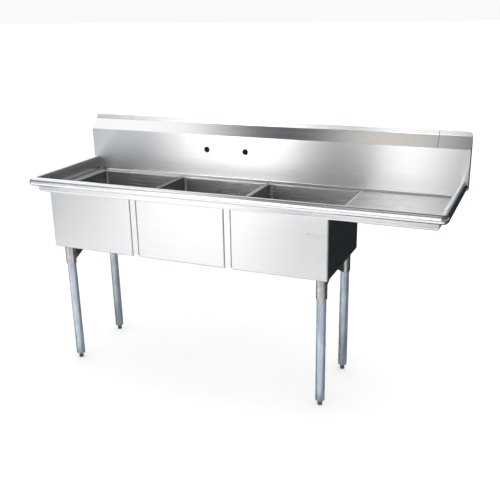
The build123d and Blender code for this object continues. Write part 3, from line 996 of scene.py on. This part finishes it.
@dataclass(frozen=True)
class Rim:
    """The rolled rim: two sides, the front and its two welded corners."""

    plan: Plan
    roll: float = 19.05
    roll_height: float = 918.95
    roll_turn: float = 315.0
    bend: float = 8.0
    corner_leg: float = 60.0
    corner_radius: float = 28.0

    def section(self, bm: BMesh, origin: Vector, across: Vector) -> list[BMEdge]:
        """Draw the rim's show face, from the deck up and over.

        Args:
            bm: an empty mesh.
            origin: a point of the section's plane, over the roll's outside.
            across: the way from the outside to the bowls.

        Returns:
            The section's edges.
        """
        pen = Pen(bm, (self.plan.rim_inset, self.plan.deck_top), origin, across, Z)
        pen.arc((self.plan.rim_inset, self.plan.deck_top + self.bend), -90, 6)
        pen.line((2 * self.roll, self.roll_height))
        pen.arc((self.roll, self.roll_height), self.roll_turn, 42)
        return list(bm.edges)

    def corner(self) -> BMesh:
        """Draw the left-hand corner: its outside turns on a radius, its inside is mitred."""
        bm = bmesh.new()
        radius, leg = self.corner_radius, self.corner_leg
        chain = self.section(bm, Vector((leg, 0, 0)), Y)
        bmesh.ops.bisect_plane(bm, geom=[*bm.verts, *bm.edges], plane_co=(0, radius, 0), plane_no=Y)
        chain = run(bm, list(bm.edges), X * (radius - leg))
        for vert in {v for e in chain for v in e.verts if v.co.y > radius}:
            vert.co.x = vert.co.y
        outer = [e for e in chain if all(v.co.y <= radius + 0.001 for v in e.verts)]
        twin = bmesh.ops.duplicate(bm, geom=[*bm.verts, *bm.edges, *bm.faces])["geom"]
        swap = Matrix(((0, 1, 0, 0), (1, 0, 0, 0), (0, 0, 1, 0), (0, 0, 0, 1)))
        bmesh.ops.transform(bm, matrix=swap, verts=[g for g in twin if isinstance(g, BMVert)])
        joined = {v for e in outer for v in e.verts}
        bmesh.ops.spin(bm, geom=[*joined, *outer], cent=(radius, radius, 0), axis=(0, 0, 1),
                       angle=math.radians(-90), steps=10, use_duplicate=False)
        return bm

    def build(self, shop: Workshop) -> None:
        """Draw the five lengths."""
        plan, leg = self.plan, self.corner_leg
        across_row = Matrix.Translation((plan.length, 0, 0)) @ Matrix.Diagonal((-1, 1, 1, 1))

        bm = bmesh.new()
        run(bm, self.section(bm, X * leg, Y), X * (plan.length - 2 * leg))
        shop.finish("rim_front_roll", bm, ROLL_STEEL, ["rim_front"], show=Z, gauge=GAUGE)

        for hand in Hand:
            inward = X if hand is Hand.LEFT else -X
            start = Vector((0 if hand is Hand.LEFT else plan.length, leg, 0))
            bm = bmesh.new()
            run(bm, self.section(bm, start, inward), Y * (plan.splash_face - leg))
            shop.finish(f"rim_{hand.value}_roll", bm, ROLL_STEEL, [f"rim_{hand.value}"],
                        show=Z, gauge=GAUGE, grain=Grain.FRONT_TO_BACK)
            bm = self.corner()
            if hand is Hand.RIGHT:
                bmesh.ops.transform(bm, matrix=across_row, verts=list(bm.verts))
            shop.finish(f"rim_corner_{hand.value}_roll", bm, ROLL_STEEL,
                        [f"rim_corner_{hand.value}"], show=Z, gauge=GAUGE)


@dataclass(frozen=True)
class Splash:
    """The splash: panel with its cove and faucet holes, the sloped return and the end caps."""

    plan: Plan
    return_bottom: float = 1078.2
    return_top: float = 1126.0
    lip_face: float = 595.8
    lip_corner: float = 18.0
    wing_bottom: float = 899.9
    inner_wing: float = 8.0
    inner_wing_bottom: float = 868.0
    splice: float = 1755.0
    splice_width: float = 1.8
    splice_sink: float = 0.3
    hole_radius: float = 14.3
    hole_spacing: float = 203.2
    hole_height: float = 1005.7
    hole_cell: float = 60.0

    def panel(self) -> BMesh:
        """Draw the panel, its wings over the side rolls and its two faucet holes."""
        plan = self.plan
        left, right = plan.rim_inset, plan.length - plan.rim_inset
        flat_bottom = plan.deck_top + plan.cove
        bm = bmesh.new()
        pen = Pen(bm, (plan.deck_back, plan.deck_top), X * left, Y, Z)
        pen.arc((plan.deck_back, flat_bottom), 90, 6)
        pen.line((plan.splash_face, self.wing_bottom), (plan.splash_face, self.return_bottom))
        run(bm, list(bm.edges), X * (right - left))
        for edge_x, outwards in ((left, -X), (right, X)):
            def past(co: Vector, by: float) -> bool:
                """Whether a point is at least so far beyond the panel's end."""
                return (co.x - edge_x) * outwards.x > by - 0.01

            run(bm, edges_where(bm, lambda co: past(co, 0) and co.z > flat_bottom - 0.01),
                outwards * self.inner_wing)
            run(bm, edges_where(bm, lambda co: past(co, 0) and abs(co.z - flat_bottom) < 0.01),
                -Z * (flat_bottom - self.inner_wing_bottom))
            run(bm, edges_where(bm, lambda co: past(co, self.inner_wing) and co.z > self.wing_bottom - 0.01),
                outwards * (plan.rim_inset - self.inner_wing))
        # Faces of the cove take index 1, a painted shade.
        for face in bm.faces:
            centre = face.calc_center_median()
            if centre.z < flat_bottom and left < centre.x < right:
                face.material_index = 1
        middle = plan.bowl_lefts[1] + plan.bowl_width / 2
        for side in (-1, 1):
            self.drill(bm, middle + side * self.hole_spacing / 2)
        return bm

    def drill(self, bm: BMesh, x: float) -> None:
        """Open one round hole in the panel's flat.

        Args:
            bm: the panel.
            x: the hole's place along the row.
        """
        half = self.hole_cell / 2
        cuts = [(Vector((x + s * half, 0, 0)), X) for s in (-1, 1)]
        cuts += [(Vector((0, 0, self.hole_height + s * half)), Z) for s in (-1, 1)]
        for point, normal in cuts:
            bmesh.ops.bisect_plane(bm, geom=[*bm.verts, *bm.edges, *bm.faces], plane_co=point,
                                   plane_no=normal, dist=0.001)
        centre = Vector((x, self.plan.splash_face, self.hole_height))
        cell = min(bm.faces, key=lambda f: (f.calc_center_median() - centre).length)
        border = list(cell.edges)
        bmesh.ops.delete(bm, geom=[cell], context="FACES_ONLY")
        parts = bmesh.ops.subdivide_edges(bm, edges=border, cuts=7)["geom_split"]
        outside = [g for g in parts if isinstance(g, BMEdge)]
        turn = Matrix.Translation(centre) @ Matrix.Rotation(math.radians(90), 4, "X")
        circle = bmesh.ops.create_circle(bm, segments=32, radius=self.hole_radius, matrix=turn)["verts"]
        inside = {e for v in circle for e in v.link_edges}
        bmesh.ops.bridge_loops(bm, edges=[*outside, *inside])

    def sloped_return(self, left: float, right: float, hands: Sequence[Hand]) -> BMesh:
        """Draw a length of the return and its upturned lip.

        Args:
            left: where it starts.
            right: where it ends.
            hands: the ends where the lip's corner is rounded.

        Returns:
            The open sheet.
        """
        bm = bmesh.new()
        pen = Pen(bm, (self.plan.splash_face, self.return_bottom), X * left, Y, Z)
        pen.line((self.lip_face, self.return_top))
        bend = pen.tip
        pen.line((self.lip_face, self.plan.height))
        round_corners(bm, [bend], 2.0, 3)
        run(bm, list(bm.edges), X * (right - left))
        ends = {Hand.LEFT: left, Hand.RIGHT: right}
        corners = [v for v in bm.verts for hand in hands
                   if v.co.z > self.plan.height - 0.01 and abs(v.co.x - ends[hand]) < 0.01]
        round_corners(bm, corners, self.lip_corner, 8)
        return bm

    def end_cap(self, hand: Hand) -> BMesh:
        """Draw the flat cap that closes one end of the splash."""
        x = 0.0 if hand is Hand.LEFT else self.plan.length
        front, back = self.plan.splash_face, self.plan.depth
        return plate(X * x, [(front + GAUGE, self.wing_bottom), (back, self.wing_bottom),
                             (back, self.return_top - 0.5),
                             (front + GAUGE * math.sqrt(2), self.return_bottom),
                             (front + GAUGE, self.return_bottom)])

    def build(self, shop: Workshop) -> None:
        """Draw the five pieces."""
        plan = self.plan
        shop.finish("splash_panel_sheet", self.panel(), SPLASH_STEEL, ["splash_panel"],
                    show=-Y, gauge=GAUGE, edge=0.2, others=(COVE_PAINTED_SHADE,))
        before, after = self.splice - self.splice_width / 2, self.splice + self.splice_width / 2
        for node, left, right, hand in (("splash_return", 0, before, Hand.LEFT),
                                        ("splash_return_end", after, plan.length, Hand.RIGHT)):
            shop.finish(f"{node}_sheet", self.sloped_return(left, right, [hand]), RETURN_STEEL, [node],
                        show=Z - Y, gauge=GAUGE, edge=0.2)
        # A dark sheet sunk in the splice gap between the two returns stands for the gap's shade: painted
        # shade.
        weld = self.sloped_return(before, after, [])
        bmesh.ops.translate(weld, vec=(Y - Z) * self.splice_sink, verts=list(weld.verts))
        shop.finish("splash_splice_painted_shade", weld, GAP_PAINTED_SHADE, show=Z - Y,
                    gauge=GAUGE - 2 * self.splice_sink, edge=0.0)
        for hand in Hand:
            outwards = -X if hand is Hand.LEFT else X
            shop.finish(f"splash_{hand.value}_cap", self.end_cap(hand), SPLASH_STEEL,
                        [f"splash_end_{hand.value}"], show=outwards, gauge=GAUGE, edge=0.2,
                        grain=Grain.UPRIGHT)


@dataclass(frozen=True)
class FillerStrips:
    """The upright strips that close the gaps between the bowls, front and rear."""

    plan: Plan
    recess: float = 2.0
    bottom: float = 610.0
    shade_line_radius: float = 1.0
    shade_line_inset: float = 1.0

    def build(self, shop: Workshop) -> None:
        """Draw the four strips."""
        plan = self.plan
        top = plan.deck_top - GAUGE
        rows = (("front", plan.bowl_front + self.recess, Bowl.front_corner, -Y),
                ("rear", plan.bowl_back - self.recess, Bowl.rear_corner, Y))
        for row, face_y, corner, show in rows:
            tuck = corner - math.sqrt(corner ** 2 - (corner - self.recess) ** 2)
            for side, left in zip(("left", "right"), plan.bowl_lefts):
                bm = bmesh.new()
                start = left + plan.bowl_width - tuck
                end = left + plan.bowl_lefts[1] - plan.bowl_lefts[0] + tuck
                Pen(bm, (start, self.bottom), Y * face_y, X, Z).line((start, top))
                run(bm, list(bm.edges), X * (end - start))
                name = f"{row}_filler_strip_{side}"
                shop.finish(f"{name}_sheet", bm, STRIP_STEEL, [name], show=show, gauge=GAUGE, edge=0.3)
                # A thin near-black rod along each side of the strip, where it meets the bowls' corners:
                # painted shade in the recess.
                for hand, x in zip(Hand, (start + self.shade_line_inset, end - self.shade_line_inset)):
                    bm = bmesh.new()
                    middle = Vector((x, face_y, (self.bottom + top) / 2)) + show * self.shade_line_radius / 3
                    bmesh.ops.create_cone(bm, segments=8, radius1=self.shade_line_radius,
                                          radius2=self.shade_line_radius, depth=top - self.bottom - 1,
                                          cap_ends=True, matrix=Matrix.Translation(middle))
                    shop.finish(f"{name}_painted_shade_line_{hand.value}", bm, GAP_PAINTED_SHADE, edge=0.0)


@dataclass(frozen=True)
class LegSet:
    """The four legs: socket with its boss, brace, tube, threaded insert and foot."""

    plan: Plan
    side_inset: float = 42.0
    front_inset: float = 55.0
    socket_radius: float = 24.15
    socket_bore: float = 21.0
    socket_bottom: float = 504.0
    socket_top: float = 600.4
    weld_height: float = 599.2
    weld_radius: float = 24.55
    weld_size: float = 2.6
    boss_bearing: float = 127.0
    boss_height: float = 524.0
    boss_radius: float = 7.5
    boss_root: float = 1.2
    boss_reach: float = 6.0
    boss_wall: float = 3.3
    boss_depth: float = 4.0
    chamfer: Point = (1.6, 3.0)
    leg_radius: float = 20.65
    leg_bore: float = 19.15
    leg_bottom: float = 27.0
    leg_top: float = 595.0
    brace_gauge: float = 3.0
    brace_past_middle: float = 39.15
    brace_bite: float = 0.3
    brace_toe: float = 4.0
    brace_shoulder: float = 0.35
    stud_radius: float = 6.35
    stud_clearance: float = 0.05
    plug_profile: tuple[Point, ...] = ((17.3, 22.0), (20.65, 25.75), (20.65, 27.0), (19.1, 27.0),
                                       (19.1, 60.0))
    foot_profile: tuple[Point, ...] = ((0.0, 0.0), (10.0, 0.0), (11.0, 1.0), (11.0, 4.0), (10.0, 8.0),
                                       (10.0, 12.2), (9.5, 12.8), (9.5, 13.6), (10.0, 14.2),
                                       (10.0, 19.0))
    foot_top: float = 20.0
    seat_relief: float = 0.15
    stud_top: float = 72.0
    thread_pitch: float = 1.95

    def places(self) -> dict[str, Point]:
        """Each leg's name and axis."""
        plan = self.plan
        left = plan.bowl_lefts[0] + self.side_inset
        right = plan.bowl_lefts[-1] + plan.bowl_width - self.side_inset
        front = plan.bowl_front + self.front_inset
        rear = plan.bowl_back - self.front_inset
        return {"front_left": (left, front), "front_right": (right, front),
                "rear_left": (left, rear), "rear_right": (right, rear)}

    def socket(self, axis: Point) -> BMesh:
        """Turn the socket, with its chamfered mouth, and add its boss."""
        bm = bmesh.new()
        low, high, out = self.socket_bottom, self.socket_top, self.socket_radius
        lathe(bm, [(self.socket_bore, low), (out - self.chamfer[0], low), (out, low + self.chamfer[1]),
                   (out, high), (self.socket_bore, high)], axis, 64)
        turn = math.radians(self.boss_bearing)
        bearing = Vector((math.cos(turn), math.sin(turn), 0))
        near, far = out - self.boss_root, out + self.boss_reach
        matrix = (Matrix.Translation(Vector((*axis, self.boss_height)) + bearing * (near + far) / 2)
                  @ Matrix.Rotation(turn, 4, "Z") @ Matrix.Rotation(math.radians(90), 4, "Y"))
        boss = bmesh.ops.create_cone(bm, segments=40, radius1=self.boss_radius,
                                     radius2=self.boss_radius, depth=far - near, cap_ends=True,
                                     matrix=matrix)["verts"]
        mouth = max({f for v in boss for f in v.link_faces},
                    key=lambda f: (f.calc_center_median() - Vector((*axis, self.boss_height))).length)
        bmesh.ops.inset_individual(bm, faces=[mouth], thickness=self.boss_wall)
        sunk = bmesh.ops.extrude_discrete_faces(bm, faces=[mouth])["faces"]
        bmesh.ops.translate(bm, vec=-bearing * self.boss_depth, verts=list(sunk[0].verts))
        return bm

    def brace(self, axis: Point, towards_back: bool) -> BMesh:
        """Draw one triangular plate, with its corners eased.

        Args:
            axis: the leg's axis.
            towards_back: True for the plate that runs back from a front leg.

        Returns:
            The plate's show face.
        """
        sign = 1 if towards_back else -1
        near = axis[1] + sign * (self.socket_radius - self.brace_bite)
        far = self.plan.bowl_middle + sign * self.brace_past_middle
        low, high = self.socket_bottom + self.brace_toe, self.plan.bowl_bottom - 1.5
        drop = self.plan.bowl_bottom - Bowl.fall + self.brace_bite
        return plate(X * (axis[0] - sign * self.brace_gauge),
                     [(near, low), (near, high), (near + (far - near) * self.brace_shoulder, drop + 0.8),
                      (far, drop + 0.8), (far, drop - 1.5), (near + sign * self.brace_toe, low)])

    def foot(self, axis: Point) -> BMesh:
        """Turn a foot with its threaded stud."""
        root, crest = self.stud_radius - 0.75, self.stud_radius - 0.05
        shoulder = self.foot_top - self.seat_relief
        outline = [*self.foot_profile, (9.0, shoulder), (root, shoulder)]
        z = self.foot_top + 0.3
        while z + self.thread_pitch < self.stud_top - 1.5:
            outline += [(crest, z + self.thread_pitch / 2), (root, z + self.thread_pitch)]
            z += self.thread_pitch
        outline += [(root - 1.0, self.stud_top), (0.0, self.stud_top)]
        bm = bmesh.new()
        lathe(bm, outline, axis, 40, 0.0)
        return bm

    def build(self, shop: Workshop) -> None:
        """Draw the pieces of each leg."""
        for name, axis in self.places().items():
            shop.finish(f"leg_socket_{name}_tube", self.socket(axis), SOCKET_STEEL,
                        [f"leg_socket_{name}"], edge=0.3, slot="socket_satin")
            bm = bmesh.new()
            bead(bm, Vector((*axis, self.weld_height)), self.weld_radius, self.weld_size, 60)
            shop.finish(f"leg_socket_{name}_weld", bm, WELD_STEEL, edge=0.0, slot="socket_satin")
            towards_back = name.startswith("front")
            shop.finish(f"socket_brace_{name}_plate", self.brace(axis, towards_back), BRACE_STEEL,
                        [f"socket_brace_{name}"], show=-X if towards_back else X,
                        gauge=self.brace_gauge, edge=0.5, slot="brace_dark")
            bm = bmesh.new()
            lathe(bm, [(self.leg_bore, self.leg_bottom), (self.leg_radius, self.leg_bottom),
                       (self.leg_radius, self.leg_top), (self.leg_bore, self.leg_top)], axis, 72)
            shop.finish(f"leg_{name}_tube", bm, LEG_ZINC, [f"leg_{name}"], edge=0.0,
                        slot="leg_galvanised")
            bm = bmesh.new()
            bore = self.stud_radius + self.stud_clearance
            lathe(bm, [(bore, self.plug_profile[0][1]), *self.plug_profile,
                       (bore, self.plug_profile[-1][1])], axis, 64, 0.3)
            shop.finish(f"leg_insert_{name}_plug", bm, INSERT_ZINC, [f"leg_insert_{name}"], edge=0.0,
                        slot="leg_galvanised")
            shop.finish(f"foot_{name}_turned", self.foot(axis), FOOT_RESIN, [f"foot_{name}"], edge=0.0,
                        slot="foot_dark", body=f"foot_{name}")
        shop.smoothed("set_screws", SCREW_ZINC, "screw_steel")


@dataclass(frozen=True)
class Drains:
    """The three basket drains, from the frame's own turned parts."""

    plan: Plan

    def build(self, shop: Workshop) -> None:
        """Carry each part over with its finish."""
        for name in self.plan.bowl_names:
            basket = f"basket_{name}"
            for part, finish, slot, body in (
                    ("strainer", DRAIN_STEEL, "strainer_steel", FIXED_BODY),
                    ("drain_gasket", DRAIN_RUBBER, "drain_rubber", FIXED_BODY),
                    ("drain_washer", DRAIN_FIBRE, "drain_fibre", FIXED_BODY),
                    ("drain_nut", NUT_CASTING, "nut_zinc", FIXED_BODY),
                    ("basket", DRAIN_STEEL, "strainer_steel", basket),
                    ("basket_seal", DRAIN_RUBBER, "drain_rubber", basket)):
                shop.smoothed(f"{part}_{name}", finish, slot, body)


# ---------------------------------------------------------------- studio


@dataclass(frozen=True)
class Board:
    """A board on the floor that only polished faces see."""

    name: str
    low: Point
    high: Point
    tones: Stops
    lift: float = 0.004

    def lay(self) -> None:
        """Lay the board and light it in bands along the row."""
        bm = bmesh.new()
        lay_grid(bm, self.low, self.high, self.lift)
        recipe = Recipe(self.name)
        split = recipe.node("SeparateXYZ")
        recipe.join(recipe.node("TexCoord").outputs["Object"], split.inputs["Vector"])
        glow = recipe.node("Emission")
        bands = recipe.bands(split.outputs["X"], self.tones, self.low[0], self.high[0], "EASE")
        recipe.join(bands, glow.inputs["Color"])
        recipe.join(glow.outputs["Emission"], recipe.tree.nodes["Material Output"].inputs["Surface"])
        board = bring_in(self.name, bm)
        board.visible_camera = board.visible_diffuse = board.visible_shadow = False
        board.data.materials.append(recipe.material)
        board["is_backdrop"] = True


# What polished faces see by direction: (x, tone) along the row, x from -1 to 1.
SKY: dict[str, Stops] = {
    "ceiling": (
        (-1.0, 0.9), (-0.46, 1.35), (-0.42, 0.6), (-0.38, (0.05, 0.065, 0.075)),
        (-0.31, (0.06, 0.075, 0.085)), (-0.23, (1.0, 0.95, 0.9)), (-0.14, (0.76, 0.73, 0.7)),
        (-0.1, 0.2), (1.0, 0.12)),
    "front": (
        (-1.0, (0.12, 0.13, 0.15)), (-0.62, (0.3, 0.34, 0.4)), (-0.55, (0.7, 0.8, 0.85)),
        (-0.51, (1.0, 1.1, 1.2)), (-0.47, 3.6), (-0.42, (6.8, 6.7, 6.6)), (-0.36, (6.8, 6.7, 6.6)),
        (-0.335, 5.6), (-0.31, (0.05, 0.08, 0.1)), (-0.225, (0.05, 0.08, 0.1)),
        (-0.2, (6.0, 5.9, 5.8)), (-0.16, (5.0, 4.9, 4.8)), (-0.13, (0.8, 0.8, 0.85)),
        (-0.05, (0.3, 0.32, 0.35)), (1.0, 0.25)),
    "high": (
        (-1.0, (0.15, 0.15, 0.16)), (-0.48, (0.15, 0.17, 0.19)), (-0.44, 2.4), (-0.36, 2.4),
        (-0.32, (0.05, 0.07, 0.08)), (-0.23, (0.05, 0.07, 0.08)), (-0.2, (2.4, 2.37, 2.34)),
        (-0.14, (2.0, 1.97, 1.94)), (-0.08, 0.2), (1.0, 0.1)),
    "rear": (
        (-1.0, 2.6), (-0.55, 2.6), (-0.4, 1.1), (-0.15, 0.4), (0.0, 0.1), (0.06, (0.015, 0.02, 0.025)),
        (0.52, (0.015, 0.02, 0.025)), (0.62, (0.55, 0.56, 0.57)), (1.0, 0.7)),
    "rear_high": (
        (-1.0, 1.1), (0.0, 1.1), (0.12, (0.1, 0.12, 0.14)), (1.0, 0.02)),
    "dark": (
        (-1.0, 1.0), (-0.46, 1.0), (-0.41, 0.12), (1.0, 0.03)),
}
# Boards on the floor: name, two corners, and (x, tone) along the row.
BOARDS = (
    Board("near_board", (-6.0, -3.0), (5.0, -1.7), (
        (-6.0, 0.1), (-3.1, 0.3), (-2.5, (0.6, 0.6, 0.61)), (-1.7, 1.05), (-0.9, 0.82),
        (-0.35, (0.36, 0.36, 0.38)), (5.0, 0.3))),
    Board("roll_board", (-6.0, -1.7), (5.0, -0.3), (
        (-6.0, 0.1), (-3.0, 0.5), (-2.0, 1.15), (0.2, (1.1, 1.12, 1.15)), (1.2, (0.9, 0.95, 1.0)),
        (2.0, 0.1), (5.0, 0.1))),
    Board("foot_board", (-6.0, -0.3), (5.0, 0.9), (
        (-6.0, 0.1), (5.0, 0.08))),
    Board("far_board", (-8.0, -5.0), (6.0, -3.0), (
        (-8.0, 0.3), (-3.9, (0.5, 0.56, 0.62)), (-3.0, (0.9, 0.92, 0.95)), (-2.5, 1.5), (-1.9, 1.7),
        (-1.25, 1.4), (-0.95, (0.25, 0.3, 0.34)), (-0.65, (0.25, 0.3, 0.34)), (-0.3, (1.5, 1.5, 1.45)),
        (0.2, 1.3), (0.6, (0.4, 0.42, 0.45)), (6.0, 0.3))),
    Board("distant_board", (-12.0, -14.0), (6.0, -5.0), (
        (-12.0, 0.6), (-5.6, 0.8), (-4.3, 1.1), (-3.6, 1.2), (-2.6, (1.0, 1.0, 1.02)),
        (-2.0, (0.5, 0.53, 0.56)), (-1.5, (0.5, 0.53, 0.56)), (-0.8, (1.2, 1.2, 1.18)),
        (-0.1, (0.85, 0.85, 0.86)), (0.3, (0.55, 0.55, 0.58)), (6.0, 0.3))),
    Board("rear_flag", (0.56, -0.1), (40.0, 60.0), (
        (0.56, (0.012, 0.016, 0.018)), (40.0, 0.02))),
)


@dataclass(frozen=True)
class Studio:
    """Pale floor, soft light all round, and the camera."""

    camera_place: tuple[float, float, float] = (1.2636, -2.8466, 1.6772)
    yaw: float = 23.31
    pitch: float = 19.04
    roll: float = -1.06
    lens: float = 51.5
    floor_size: float = 120.0
    brightness: float = 0.95
    front_rise: Point = (0.14, 0.3)
    rear_rise: Point = (0.15, 0.3)
    side_turn: Point = (-0.2, 0.2)
    panel_front: Point = (-0.45, -0.3)
    panel_back: Point = (0.0, 0.15)
    roof_edge: Point = (0.6, 0.72)
    flag_gap: float = 0.004
    flag_radius: float = 0.02

    def floor(self) -> None:
        """Lay the floor."""
        bm = bmesh.new()
        bmesh.ops.create_grid(bm, x_segments=4, y_segments=4, size=self.floor_size / 2)
        floor = bring_in("studio_floor", bm)
        recipe = Recipe("floor_paper")
        patches = recipe.noise(recipe.object_coordinates((1.5, 1.5, 1.5)), 2.0)
        recipe.feed(Base_Color=recipe.blend(patches, 0.84, 0.86))
        recipe.set(Roughness=0.9, Emission_Color=colour(1.0), Emission_Strength=0.34,
                   Specular_IOR_Level=0.1)
        floor.data.materials.append(recipe.material)
        floor.visible_glossy = False
        floor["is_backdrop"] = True

    def world(self) -> None:
        """Light the set from all round; polished faces see the studio's ceiling and walls."""
        world = bpy.data.worlds.new("studio")
        bpy.context.scene.world = world
        world.use_nodes = True
        sky = Nodes(world.node_tree)
        sky.tree.nodes.clear()
        split = sky.node("SeparateXYZ")
        sky.join(sky.node("TexCoord").outputs["Generated"], split.inputs["Vector"])
        x, y, z = (split.outputs[axis] for axis in "XYZ")
        seen = {name: sky.bands(x, stops) for name, stops in SKY.items()}
        front = sky.mix(sky.step(z, *self.front_rise), seen["front"], seen["high"])
        rear = sky.mix(sky.step(z, *self.rear_rise), seen["rear"], seen["rear_high"])
        walls = sky.mix(sky.step(y, *self.side_turn), front, rear)
        front_top = sky.mix(sky.step(y, *self.panel_front), seen["dark"], seen["ceiling"])
        top = sky.mix(sky.step(y, *self.panel_back), front_top, seen["dark"])
        glossy, plain = sky.node("Background"), sky.node("Background")
        sky.join(sky.mix(sky.step(z, *self.roof_edge), walls, top), glossy.inputs["Color"])
        plain.inputs["Color"].default_value = colour(1.0)
        plain.inputs["Strength"].default_value = self.brightness
        either = sky.node("MixShader")
        sky.join(sky.node("LightPath").outputs["Is Glossy Ray"], either.inputs["Fac"])
        sky.join(plain.outputs["Background"], either.inputs[1])
        sky.join(glossy.outputs["Background"], either.inputs[2])
        sky.join(either.outputs["Shader"], sky.node("OutputWorld").inputs["Surface"])
        world.cycles.sampling_method = "NONE"

    def hole_flags(self) -> None:
        """Keep the light behind the splash out of its two holes, with a black card behind each."""
        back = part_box("splash_panel")[1].y
        middle = (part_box("bowl_middle")[0].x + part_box("bowl_middle")[1].x) / 2
        reach = Splash.hole_spacing / 2 * MILLIMETRE
        for hand, x in zip(Hand, (middle - reach, middle + reach)):
            bm = bmesh.new()
            centre = Vector((x, back + self.flag_gap, Splash.hole_height * MILLIMETRE))
            bmesh.ops.create_circle(bm, cap_ends=True, segments=32, radius=self.flag_radius,
                                    matrix=Matrix.Translation(centre)
                                    @ Matrix.Rotation(math.radians(90), 4, "X"))
            card = bring_in(f"hole_flag_{hand.value}", bm)
            recipe = Recipe(f"hole_flag_{hand.value}")
            recipe.set(Base_Color=(0.01, 0.01, 0.012, 1.0), Roughness=0.9)
            card.data.materials.append(recipe.material)
            card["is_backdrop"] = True

    def camera(self) -> None:
        """Set up the camera."""
        yaw, pitch, roll = (math.radians(a) for a in (self.yaw, self.pitch, self.roll))
        forward = Vector((-math.sin(yaw) * math.cos(pitch), math.cos(yaw) * math.cos(pitch),
                          -math.sin(pitch)))
        right = Vector((math.cos(yaw), math.sin(yaw), 0))
        up = right.cross(forward)
        tilted = right * math.cos(roll) + up * math.sin(roll)
        upright = up * math.cos(roll) - right * math.sin(roll)
        data = bpy.data.cameras.new("camera")
        data.lens, data.sensor_width = self.lens, 36.0
        camera = bpy.data.objects.new("camera", data)
        axes = Matrix((tilted, upright, -forward)).transposed().to_4x4()
        camera.matrix_world = Matrix.Translation(self.camera_place) @ axes
        bpy.context.scene.collection.objects.link(camera)
        bpy.context.scene.camera = camera

    def build(self) -> None:
        """Set the studio up."""
        self.floor()
        self.world()
        for board in BOARDS:
            board.lay()
        self.hole_flags()
        self.camera()
        bpy.context.scene.view_settings.view_transform = "Standard"


def clear_bench() -> None:
    """Remove whatever an opened Blender file starts with."""
    for obj in list(bpy.data.objects):
        bpy.data.objects.remove(obj)


def main() -> None:
    """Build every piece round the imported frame, and the studio."""
    logging.basicConfig(level=logging.INFO, format="%(name)s %(message)s")
    clear_bench()
    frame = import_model()
    cad_low, cad_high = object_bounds()
    size = (cad_high - cad_low) / MILLIMETRE
    plan = Plan(round(size.x, 3), round(size.y, 3), round(size.z, 3))
    shop = Workshop(frame, Vector((cad_low.x, cad_low.y, 0.0)))
    for index in range(len(plan.bowl_names)):
        Bowl(plan, index).build(shop)
    for assembly in (Deck(plan), Drainboard(plan), Rim(plan), Splash(plan), FillerStrips(plan),
                     LegSet(plan), Drains(plan)):
        assembly.build(shop)
    Studio().build()


if __name__ == "__main__":
    main()
